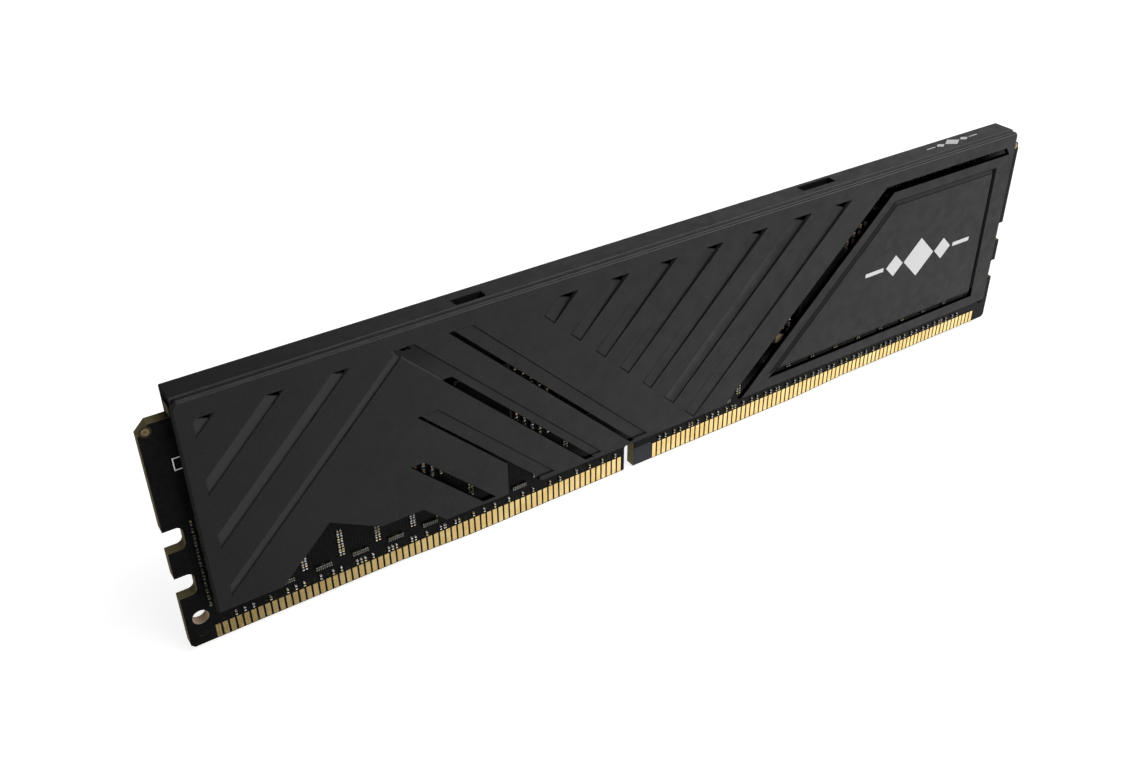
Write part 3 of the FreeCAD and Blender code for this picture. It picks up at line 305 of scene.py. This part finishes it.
def board_look():
    """Satin black solder mask, bare beside the key; olive glass-epoxy with fine plies on cut edges."""
    look = Look("solder_mask", specular=0.06)
    flat = look.step(look.math("ABSOLUTE", look.normal_axis("Y")), 0.6, 0.8)
    weave = look.noise(0.5, detail=4.0)
    mask = look.blend(look.step(weave, 0.3, 0.7), (0.003, 0.0034, 0.0033), (0.0055, 0.006, 0.0058))
    plies = look.math("SINE", look.math("MULTIPLY", look.axis("Y"), 2 * math.pi / (0.2 * MM)))
    fibres = look.noise(0.16, detail=4.0, stretch=(0.4, 2.5, 0.4))
    strand = look.math("ADD", look.span(plies, 0.5, 0.6), look.span(fibres, -0.25, 0.25))
    cut = look.blend(look.step(strand, 0.2, 0.85), (0.085, 0.07, 0.03), (0.22, 0.185, 0.1))
    x, z = look.axis("X"), look.axis("Z")
    hole_x, hole_z = TOOLING_HOLE
    reach = TOOLING_HOLE_REACH
    level = look.between(z, hole_z - reach, hole_z + reach)
    # Tooling hole walls: the left one pale beige, the right one painted near black as shade.
    for middle, wall in ((-hole_x, (0.42, 0.33, 0.25)), (hole_x, (0.02, 0.018, 0.014))):
        around = look.both(level, look.between(x, middle - reach, middle + reach))
        cut = look.blend(around, cut, wall)
    bare = look.both(look.between(x, *KEY_PATCH), look.below(z, KEY_PATCH_TOP))
    mask = look.blend(bare, mask, look.blend(weave, (0.032, 0.034, 0.039), (0.048, 0.05, 0.056)))
    look.set("Base Color", look.blend(flat, cut, mask))
    look.set("Roughness", look.blend(flat, grey(0.75), grey(0.42)))
    look.bump((weave, 0.006), (look.noise(0.08, detail=2.0), 0.003))
    return look.material


def gold_look():
    look = Look("contact_gold", metallic=1.0)
    drift = look.noise(1.4, detail=4.0)
    look.set("Base Color", look.blend(look.step(drift, 0.3, 0.7), (0.78, 0.55, 0.21), (0.9, 0.68, 0.31)))
    scratches = look.noise(0.1, detail=3.0, stretch=(1, 1, 0.12))
    look.set("Roughness", look.span(look.step(scratches, 0.3, 0.75), 0.24, 0.4))
    look.bump((scratches, 0.004))
    return look.material


def mark_look():
    """Dull brown-gold alignment marks, darker in the middle."""
    look = Look("mark_gold", metallic=1.0)
    mark_x, mark_z = ALIGNMENT_MARK
    x = look.math("SUBTRACT", look.math("ABSOLUTE", look.axis("X")), mark_x * MM)
    z = look.math("SUBTRACT", look.axis("Z"), mark_z * MM)
    away = look.math("SQRT", look.math("ADD", look.math("MULTIPLY", x, x), look.math("MULTIPLY", z, z)))
    tarnish = look.noise(0.3, detail=4.0)
    colour = look.blend(look.step(away, 0.08 * MM, 0.24 * MM), (0.12, 0.09, 0.05), (0.45, 0.34, 0.18))
    look.set("Base Color", look.blend(look.step(tarnish, 0.35, 0.75), colour, (0.3, 0.22, 0.12)))
    look.set("Roughness", look.span(tarnish, 0.35, 0.55))
    look.bump((tarnish, 0.006))
    return look.material


def bare_glass_look():
    """Brown glass-epoxy showing in the gap of the solder mask around an alignment mark."""
    look = Look("bare_glass", specular=0.2)
    weave = look.noise(0.12, detail=4.0)
    brown = look.blend(look.step(weave, 0.3, 0.7), (0.02, 0.013, 0.007), (0.045, 0.03, 0.016))
    look.set("Base Color", brown)
    look.set("Roughness", look.span(weave, 0.55, 0.75))
    look.bump((weave, 0.005))
    return look.material


def tin_look(name, tone, gilt=0.0):
    """Tinned metal; with gilt, that share of the separate pieces is gold plated."""
    look = Look(name, metallic=1.0)
    patches = look.noise(0.25, detail=3.0)
    colour = look.blend(look.step(patches, 0.35, 0.7), grey(tone * 0.85), (tone, tone * 0.98, tone * 0.93))
    if gilt:
        chance = look.add("ShaderNodeNewGeometry").outputs["Random Per Island"]
        gold = (tone * 0.95, tone * 0.78, tone * 0.46)
        colour = look.blend(look.math("LESS_THAN", chance, gilt), colour, gold)
    look.set("Base Color", colour)
    look.set("Roughness", look.span(patches, 0.2, 0.45))
    look.bump((patches, 0.008))
    return look.material


def moulded_look(name, tone, roughness=0.62, grain_mm=0.09):
    """Filled epoxy moulding: fine sparkle-free grain and faint flow lines."""
    look = Look(name, specular=0.35)
    grain = look.noise(grain_mm, detail=3.0)
    flow = look.noise(2.2, detail=3.0, stretch=(1, 1, 0.4))
    colour = look.blend(look.step(flow, 0.3, 0.75), grey(tone * 0.85), grey(tone * 1.2))
    look.set("Base Color", look.blend(look.step(grain, 0.55, 0.8), colour, grey(tone * 1.6)))
    look.set("Roughness", look.span(grain, roughness - 0.08, roughness + 0.1))
    look.bump((grain, 0.01), (flow, 0.006))
    return look.material


def ceramic_look():
    """Fired capacitor bodies, a little different in tone from one to the next."""
    look = Look("capacitor_ceramic", specular=0.5)
    info = look.add("ShaderNodeNewGeometry").outputs["Random Per Island"]
    speck = look.noise(0.1, detail=4.0)
    tone = look.blend(info, (0.20, 0.13, 0.075), (0.42, 0.31, 0.2))
    look.set("Base Color", look.blend(look.step(speck, 0.5, 0.8), tone, (0.5, 0.4, 0.28)))
    look.set("Roughness", look.span(speck, 0.4, 0.6))
    look.bump((speck, 0.006))
    return look.material


def glazed_look():
    look = Look("resistor_body", specular=0.6)
    speck = look.noise(0.12, detail=3.0)
    look.set("Base Color", look.blend(speck, (0.012, 0.012, 0.014), (0.03, 0.03, 0.033)))
    look.set("Roughness", look.span(speck, 0.25, 0.42))
    look.bump((speck, 0.005))
    return look.material


def pad_look():
    look = Look("thermal_pad", specular=0.02)
    pores = look.cells(0.35)
    drift = look.noise(2.0, detail=4.0)
    look.set("Base Color", look.blend(look.step(drift, 0.3, 0.7), grey(0.003), grey(0.006)))
    look.set("Roughness", look.span(drift, 0.8, 0.95))
    look.bump((pores, 0.02), (drift, 0.03))
    return look.material


def film_look():
    look = Look("label_film", specular=0.4)
    fleck = look.noise(0.2, detail=3.0)
    look.set("Base Color", look.blend(look.step(fleck, 0.4, 0.7), grey(0.03), grey(0.045)))
    look.set("Roughness", look.span(look.noise(4.0), 0.3, 0.42))
    look.bump((look.noise(5.0, detail=3.0), 0.02), (fleck, 0.003))
    return look.material


def ink_look():
    look = Look("white_ink", specular=0.3)
    fleck = look.noise(0.08, detail=3.0)
    look.set("Base Color", look.blend(look.step(fleck, 0.3, 0.6), grey(0.7), grey(0.82)))
    look.set("Roughness", look.span(fleck, 0.5, 0.65))
    look.bump((fleck, 0.004))
    return look.material


LOOKS = {
    "spreader_front": coated_metal("spreader_front", COATING, 0.5, grooved=True),
    "spreader_rear": coated_metal("spreader_rear", COATING, 0.5),
    "edge": worn_edge_with_painted_light("spreader_edge"),
    "solder_mask": board_look(),
    "contact_gold": gold_look(),
    "mark_gold": mark_look(),
    "bare_glass": bare_glass_look(),
    "solder": tin_look("solder", 0.4),
    "terminal_metal": tin_look("terminal_metal", 0.8, gilt=0.5),
    "array_metal": tin_look("array_metal", 0.4, gilt=0.5),
    "chip_mould": moulded_look("chip_mould", 0.008),
    "capacitor_ceramic": ceramic_look(),
    "resistor_body": glazed_look(),
    "thermal_pad": pad_look(),
    "label_film": film_look(),
    "white_ink": ink_look(),
}
SLOT_OF = {part["node"]: part["material_slot"] for part in frame["record"]["subparts"]}


def dress(obj, *looks):
    """Give the object these materials, in slot order."""
    obj.data.materials.clear()
    for look in looks:
        obj.data.materials.append(LOOKS[look])


# ---------------------------------------------------------------- CAD nodes kept as they are

def soften(obj, width_mm, edge_slot=-1, segments=2, angle=28):
    """Join the tessellated faces and round the sharp edges, in modifiers only."""
    weld = obj.modifiers.new("weld", "WELD")
    weld.merge_threshold = 1e-6
    flat = obj.modifiers.new("flat", "DECIMATE")
    flat.decimate_type = "DISSOLVE"
    flat.angle_limit = math.radians(0.4)
    obj.modifiers.new("triangles", "TRIANGULATE")
    bevel = obj.modifiers.new("bevel", "BEVEL")
    bevel.width = width_mm * MM
    bevel.segments = segments
    bevel.limit_method = "ANGLE"
    bevel.angle_limit = math.radians(angle)
    bevel.use_clamp_overlap = False
    bevel.material = edge_slot
    bevel.harden_normals = False


for name, obj in nodes.items():
    slot = SLOT_OF[name]
    if slot in ("spreader_front", "spreader_rear"):
        dress(obj, slot, "edge")
        soften(obj, 0.06, edge_slot=1, angle=15)
    else:
        dress(obj, slot)
dress(nodes["alignment_marks"], "mark_gold")
soften(nodes["circuit_board"], 0.05)
for name in ("front_thermal_pads", "rear_thermal_pad", "presence_memory_chip"):
    soften(nodes[name], 0.08)
for name in nodes:
    if name.startswith("memory_chip"):
        soften(nodes[name], 0.05)


# ---------------------------------------------------------------- pieces built here

def islands(name):
    """Boxes (low corner, high corner) of the separate solids in a CAD node."""
    mesh = nodes[name].data
    places = np.array([v.co for v in mesh.vertices])
    keys = np.round(places / 1e-7).astype(np.int64)
    _, merged = np.unique(keys, axis=0, return_inverse=True)
    merged = merged.ravel()
    parent = list(range(merged.max() + 1))

    def root(i):
        while parent[i] != i:
            parent[i] = parent[parent[i]]
            i = parent[i]
        return i

    for edge in mesh.edges:
        a, b = root(merged[edge.vertices[0]]), root(merged[edge.vertices[1]])
        if a != b:
            parent[a] = b
    groups = {}
    for vertex, key in enumerate(merged):
        groups.setdefault(root(key), []).append(vertex)
    boxes = [(places[group].min(0), places[group].max(0)) for group in groups.values()]
    boxes.sort(key=lambda box: (round(box[0][2], 6), round(box[0][0], 6)))
    return boxes


def build(name, verts, faces, look, replaced=()):
    mesh = bpy.data.meshes.new(name)
    mesh.from_pydata([tuple(v) for v in verts], [], faces)
    mesh.validate()
    obj = bpy.data.objects.new(name, mesh)
    bpy.context.scene.collection.objects.link(obj)
    dress(obj, look)
    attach(obj, "root")
    if replaced:
        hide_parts(*replaced)
    return obj


def chamfered(low, high, cut, verts, faces):
    """Add a box with all its edges and corners cut off."""
    middle = (np.array(low) + np.array(high)) / 2
    half = (np.array(high) - np.array(low)) / 2
    cut = min(cut, 0.45 * half.min())
    index = {}
    for signs in [(x, y, z) for x in (-1, 1) for y in (-1, 1) for z in (-1, 1)]:
        for axis in range(3):
            offset = np.array([half[i] if i == axis else half[i] - cut for i in range(3)])
            index[signs, axis] = len(verts)
            verts.append(middle + offset * np.array(signs))

    def add(corners):
        points = [np.array(verts[i]) for i in corners]
        normal = np.cross(points[1] - points[0], points[2] - points[0])
        if np.dot(normal, sum(points) / len(points) - middle) < 0:
            corners = corners[::-1]
        faces.append(corners)

    for axis in range(3):
        u, v = [i for i in range(3) if i != axis]
        for side in (-1, 1):
            corners = []
            for su, sv in ((-1, -1), (1, -1), (1, 1), (-1, 1)):
                signs = [0, 0, 0]
                signs[axis], signs[u], signs[v] = side, su, sv
                corners.append(index[tuple(signs), axis])
            add(corners)
        for su in (-1, 1):
            for sv in (-1, 1):
                corners = []
                for end, order in ((-1, (u, v)), (1, (v, u))):
                    signs = [0, 0, 0]
                    signs[axis], signs[u], signs[v] = end, su, sv
                    corners += [index[tuple(signs), order[0]], index[tuple(signs), order[1]]]
                add(corners)
    for signs in [(x, y, z) for x in (-1, 1) for y in (-1, 1) for z in (-1, 1)]:
        add([index[signs, axis] for axis in range(3)])


def wedge(foot, top, side, half_width, face_y, height, verts, faces):
    """Add a solder fillet: concave slope from the board up to a terminal's end face."""
    steps = 4
    start = len(verts)
    along = np.array(top) - np.array(foot)
    for i in range(steps + 1):
        t = i / steps
        rise = height * t ** 2.2
        spot = np.array(foot) + along * t
        for s in (-1, 1):
            across = np.array(side) * s * half_width * (0.75 + 0.25 * t)
            verts.append(spot + across + np.array([0, face_y - rise, 0]))
    for s in (-1, 1):
        verts.append(np.array(top) + np.array(side) * s * half_width + np.array([0, face_y, 0]))
    for i in range(steps):
        a = start + 2 * i
        faces.append([a, a + 1, a + 3, a + 2])
    last = start + 2 * steps
    faces.append([last, last + 1, last + 3, last + 2])
    for s in (0, 1):
        faces.append([start + 2 * i + s for i in range(steps + 1)] + [last + 2 + s])
    faces.append([start, start + 1, last + 3, last + 2])


def small_parts(bodies, caps, look, new_name, reach_mm=0.06, cap_look="terminal_metal"):
    """Rounded bodies, wrapped terminals and solder fillets in place of the plain CAD blocks.
    reach_mm is how far a fillet spreads over the board."""
    body_boxes = islands(bodies)
    cap_boxes = islands(caps)
    verts, faces = [], []
    inset = 0.012 * MM
    for low, high in body_boxes:
        low_corner = low + np.array([inset, inset, inset])
        chamfered(low_corner, high - np.array([inset, 0, inset]), 0.02 * MM, verts, faces)
    build(new_name + "_bodies", verts, faces, look, [bodies])
    middles = np.array([(low + high) / 2 for low, high in body_boxes])
    verts, faces = [], []
    fillet_verts, fillet_faces = [], []
    for low, high in cap_boxes:
        chamfered(low, high, 0.045 * MM, verts, faces)
        middle = (low + high) / 2
        nearest = middles[np.argmin(((middles - middle) ** 2).sum(1))]
        gap = middle - nearest
        axis = 2 if abs(gap[2]) > abs(gap[0]) else 0
        sign = 1 if gap[axis] > 0 else -1
        face_y = low[1] if abs(low[1]) < abs(high[1]) else high[1]
        outward = 1 if face_y > 0 else -1
        end = (high if sign > 0 else low)[axis]
        top = np.array([middle[0], 0, middle[2]])
        top[axis] = end - sign * 0.01 * MM
        foot = top.copy()
        foot[axis] = end + sign * reach_mm * MM
        other = 0 if axis == 2 else 2
        side = np.array([0, 0, 0])
        side[other] = 1
        half_width = (high - low)[other] / 2
        height = -outward * (high - low)[1] * 0.45
        wedge(foot, top, side, half_width, face_y, height, fillet_verts, fillet_faces)
    build(new_name + "_terminals", verts, faces, cap_look, [caps])
    build(new_name + "_solder", fillet_verts, fillet_faces, "solder")


small_parts("capacitor_bodies", "capacitor_end_caps", "capacitor_ceramic", "capacitors")
small_parts("resistor_bodies", "resistor_end_caps", "resistor_body", "resistors")
for side in ("front", "rear"):
    small_parts(f"resistor_array_bodies_{side}", f"resistor_array_leads_{side}", "resistor_body",
                f"{side}_arrays", reach_mm=0.03, cap_look="array_metal")


def solder_balls():
    """Reflowed balls, widest at the middle, in place of the straight CAD pillars."""
    verts, faces = [], []
    around, levels = 10, ((0.0, 0.74), (0.2, 0.93), (0.5, 1.0), (0.8, 0.93), (1.0, 0.74))
    for low, high in islands("chip_solder_balls"):
        middle = (low + high) / 2
        radius = (high - low)[0] / 2
        start = len(verts)
        for share, wide in levels:
            y = high[1] - share * (high[1] - low[1])
            for i in range(around):
                angle = 2 * math.pi * i / around
                x = middle[0] + radius * wide * math.cos(angle)
                verts.append((x, y, middle[2] + radius * wide * math.sin(angle)))
        for level in range(len(levels) - 1):
            for i in range(around):
                a, b = start + level * around + i, start + level * around + (i + 1) % around
                faces.append([a, b, b + around, a + around])
        faces.append([start + i for i in range(around)][::-1])
        faces.append([start + (len(levels) - 1) * around + i for i in range(around)])
    obj = build("reflowed_balls", verts, faces, "solder", ["chip_solder_balls"])
    for polygon in obj.data.polygons:
        polygon.use_smooth = len(polygon.vertices) == 4


solder_balls()


# ---------------------------------------------------------------- board relief

def ridge(points, width, height, verts, faces, face=-1):
    """Add a low ridge with sloping sides along a line of (x, z) points on a board face."""
    base = BOARD_FACE if face < 0 else -BOARD_FACE
    for (x0, z0), (x1, z1) in zip(points, points[1:]):
        along = Vector((x1 - x0, z1 - z0))
        if along.length < 1e-9:
            continue
        along.normalize()
        side = Vector((-along.y, along.x))
        start = len(verts)
        for x, z in ((x0, z0), (x1, z1)):
            for share, rise in ((-0.5, 0), (-0.3, height), (0.3, height), (0.5, 0)):
                offset = share * width
                verts.append((x + side.x * offset, base + face * rise, z + side.y * offset))
        for i in range(3):
            faces.append([start + i, start + i + 1, start + i + 5, start + i + 4])


def ring(x, z, outer, inner, height, verts, faces, face=-1, around=18):
    base = BOARD_FACE if face < 0 else -BOARD_FACE
    start = len(verts)
    profile = ((outer, 0), (outer * 0.94, height), (inner, height), (inner * 0.96, 0))
    for radius, rise in profile:
        for i in range(around):
            angle = 2 * math.pi * i / around
            verts.append((x + radius * math.cos(angle), base + face * rise, z + radius * math.sin(angle)))
    for level in range(len(profile) - 1):
        for i in range(around):
            a = start + level * around + i
            b = start + level * around + (i + 1) % around
            faces.append([a, b, b + around, a + around])


def contact_middles(name):
    return sorted({round((low[0] + high[0]) / 2, 6) for low, high in islands(name)})


TRACE_WIDTH = 0.2 * MM
TRACE_RISE = 0.02 * MM
TRACE_ENDS = (0.5 * MM, 0.32 * MM)  # above the contacts, in turn
VIA_RING = (0.16 * MM, 0.07 * MM)  # outer and inner radius
VIA_RISE = 0.025 * MM
BUS_TRACES = 9
BUS_WIDTH = 0.15 * MM
BUS_SPREAD = (0.45 * MM, 0.55 * MM)  # beyond an array's left and right end
BUS_BEND = (8.2 * MM, 8.5 * MM)
BUS_TOP = 11.6 * MM
MARK_GAP = (0.66 * MM, 0.46 * MM)  # outer and inner radius
MARK_GAP_RISE = 0.012 * MM


def board_relief():
    """Traces under the mask above the contacts and the front arrays, via rings, two probe dimples."""
    verts, faces = [], []
    via_verts, via_faces = [], []
    contact_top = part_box("contacts_front")[1].z
    for side, name in ((-1, "contacts_front"), (1, "contacts_rear")):
        for i, x in enumerate(contact_middles(name)):
            top = contact_top + TRACE_ENDS[i % 2]
            ridge([(x, contact_top - TRACE_RISE), (x, top)], TRACE_WIDTH, TRACE_RISE, verts, faces, side)
            if i % 3:
                ring(x, top + 0.1 * MM, *VIA_RING, VIA_RISE, via_verts, via_faces, side, 12)
    start, finish = BUS_BEND
    for low, high in islands("resistor_array_bodies_front"):
        left = low[0] - BUS_SPREAD[0]
        right = high[0] + BUS_SPREAD[1]
        for i in range(BUS_TRACES):
            x = left + (right - left) * i / (BUS_TRACES - 1)
            bent = x + 0.12 * MM * math.sin(i * 2.1)
            line = [(x, high[2] + 0.5 * MM), (x, start), (bent, finish), (bent, BUS_TOP)]
            ridge(line, BUS_WIDTH, TRACE_RISE, verts, faces)
    for x, z, radius in PROBE_DIMPLES:
        ring(x * MM, z * MM, radius * MM, 0.5 * radius * MM, VIA_RISE, via_verts, via_faces, -1, 20)
    build("board_traces", verts, faces, "solder_mask")
    build("board_vias", via_verts, via_faces, "solder_mask")


def mark_rims():
    """Open gap in the solder mask around each alignment mark."""
    verts, faces = [], []
    for low, high in islands("alignment_marks"):
        middle = (low + high) / 2
        ring(middle[0], middle[2], *MARK_GAP, MARK_GAP_RISE, verts, faces, -1, 24)
    build("alignment_rims", verts, faces, "bare_glass")


board_relief()
mark_rims()


# ---------------------------------------------------------------- stage, light and camera

FLOOR_REACH = 6.0
FLOOR_LEVEL = -0.0002


def stage_floor():
    """Plain pale floor that also lights the object a little from below."""
    mesh = bpy.data.meshes.new("floor")
    square = ((-1, -1), (1, -1), (1, 1), (-1, 1))
    corners = [(x * FLOOR_REACH, y * FLOOR_REACH, FLOOR_LEVEL) for x, y in square]
    mesh.from_pydata(corners, [], [(0, 1, 2, 3)])
    floor = bpy.data.objects.new("floor", mesh)
    bpy.context.scene.collection.objects.link(floor)
    material = bpy.data.materials.new("floor")
    material.use_nodes = True
    shader = material.node_tree.nodes["Principled BSDF"]
    shader.inputs["Base Color"].default_value = (0.55, 0.55, 0.55, 1)
    shader.inputs["Roughness"].default_value = 0.9
    shader.inputs["Specular IOR Level"].default_value = 0.1
    shader.inputs["Emission Color"].default_value = (1, 1, 1, 1)
    shader.inputs["Emission Strength"].default_value = 0.8
    mesh.materials.append(material)
    floor.visible_glossy = False


def area_light(name, place, target, size, power):
    light = bpy.data.lights.new(name, "AREA")
    light.shape = "RECTANGLE"
    light.size, light.size_y = size
    light.energy = power
    obj = bpy.data.objects.new(name, light)
    bpy.context.scene.collection.objects.link(obj)
    obj.location = place
    obj.rotation_euler = (Vector(target) - Vector(place)).to_track_quat("-Z", "Y").to_euler()


stage_floor()
area_light("key", (0.25, -0.35, 0.7), (0, 0, 0.02), (0.6, 0.4), 3.0)
area_light("rear_fill", (0.1, 0.5, 0.018), (0, 0, 0.018), (0.7, 0.03), 0.9)
area_light("low_left", (-0.13, -0.09, 0.012), (-0.055, -0.0026, 0.008), (0.06, 0.02), 0.012)


def studio_world():
    """Soft surroundings, dim on the left and above, bright on the right; plain white to the camera."""
    world = bpy.data.worlds.new("studio")
    world.use_nodes = True
    tree = world.node_tree
    split = tree.nodes.new("ShaderNodeSeparateXYZ")
    tree.links.new(tree.nodes.new("ShaderNodeTexCoord").outputs["Generated"], split.inputs[0])

    def ramp(axis, low, high, start, finish):
        node = tree.nodes.new("ShaderNodeMapRange")
        node.interpolation_type = "SMOOTHSTEP"
        tree.links.new(split.outputs[axis], node.inputs["Value"])
        for name, value in (("From Min", low), ("From Max", high), ("To Min", start), ("To Max", finish)):
            node.inputs[name].default_value = value
        return node.outputs["Result"]

    product = tree.nodes.new("ShaderNodeMath")
    product.operation = "MULTIPLY"
    tree.links.new(ramp("X", 0.02, 0.6, 0.03, 1.5), product.inputs[0])
    tree.links.new(ramp("Z", -0.1, 0.4, 1.0, 0.5), product.inputs[1])
    seen = tree.nodes.new("ShaderNodeMath")
    seen.operation = "MAXIMUM"
    tree.links.new(product.outputs[0], seen.inputs[0])
    tree.links.new(tree.nodes.new("ShaderNodeLightPath").outputs["Is Camera Ray"], seen.inputs[1])
    background = tree.nodes["Background"]
    background.inputs["Color"].default_value = (1, 1, 1, 1)
    tree.links.new(seen.outputs[0], background.inputs["Strength"])
    return world


scene = bpy.context.scene
scene.world = studio_world()
scene.view_settings.view_transform = "Standard"

LENS = 36.97
EYE = Vector((-82.401, -104.023, 98.968)) * MM
AIM = Vector((-15.966, -2.6, 19.110)) * MM
ROLL = math.radians(-0.535)


def photo_view():
    """Camera near the left end, above the front, looking down along the module."""
    camera = bpy.data.cameras.new("camera")
    camera.sensor_width = 36.0
    camera.lens = LENS
    camera.clip_start = 0.01
    view = bpy.data.objects.new("camera", camera)
    scene.collection.objects.link(view)
    forward = (AIM - EYE).normalized()
    level = forward.cross(Vector((0, 0, 1))).normalized()
    upright = level.cross(forward)
    right = level * math.cos(ROLL) + upright * math.sin(ROLL)
    up = upright * math.cos(ROLL) - level * math.sin(ROLL)
    view.matrix_world = Matrix((
        (right.x, up.x, -forward.x, EYE.x),
        (right.y, up.y, -forward.y, EYE.y),
        (right.z, up.z, -forward.z, EYE.z),
        (0, 0, 0, 1),
    ))
    return view


scene.camera = photo_view()
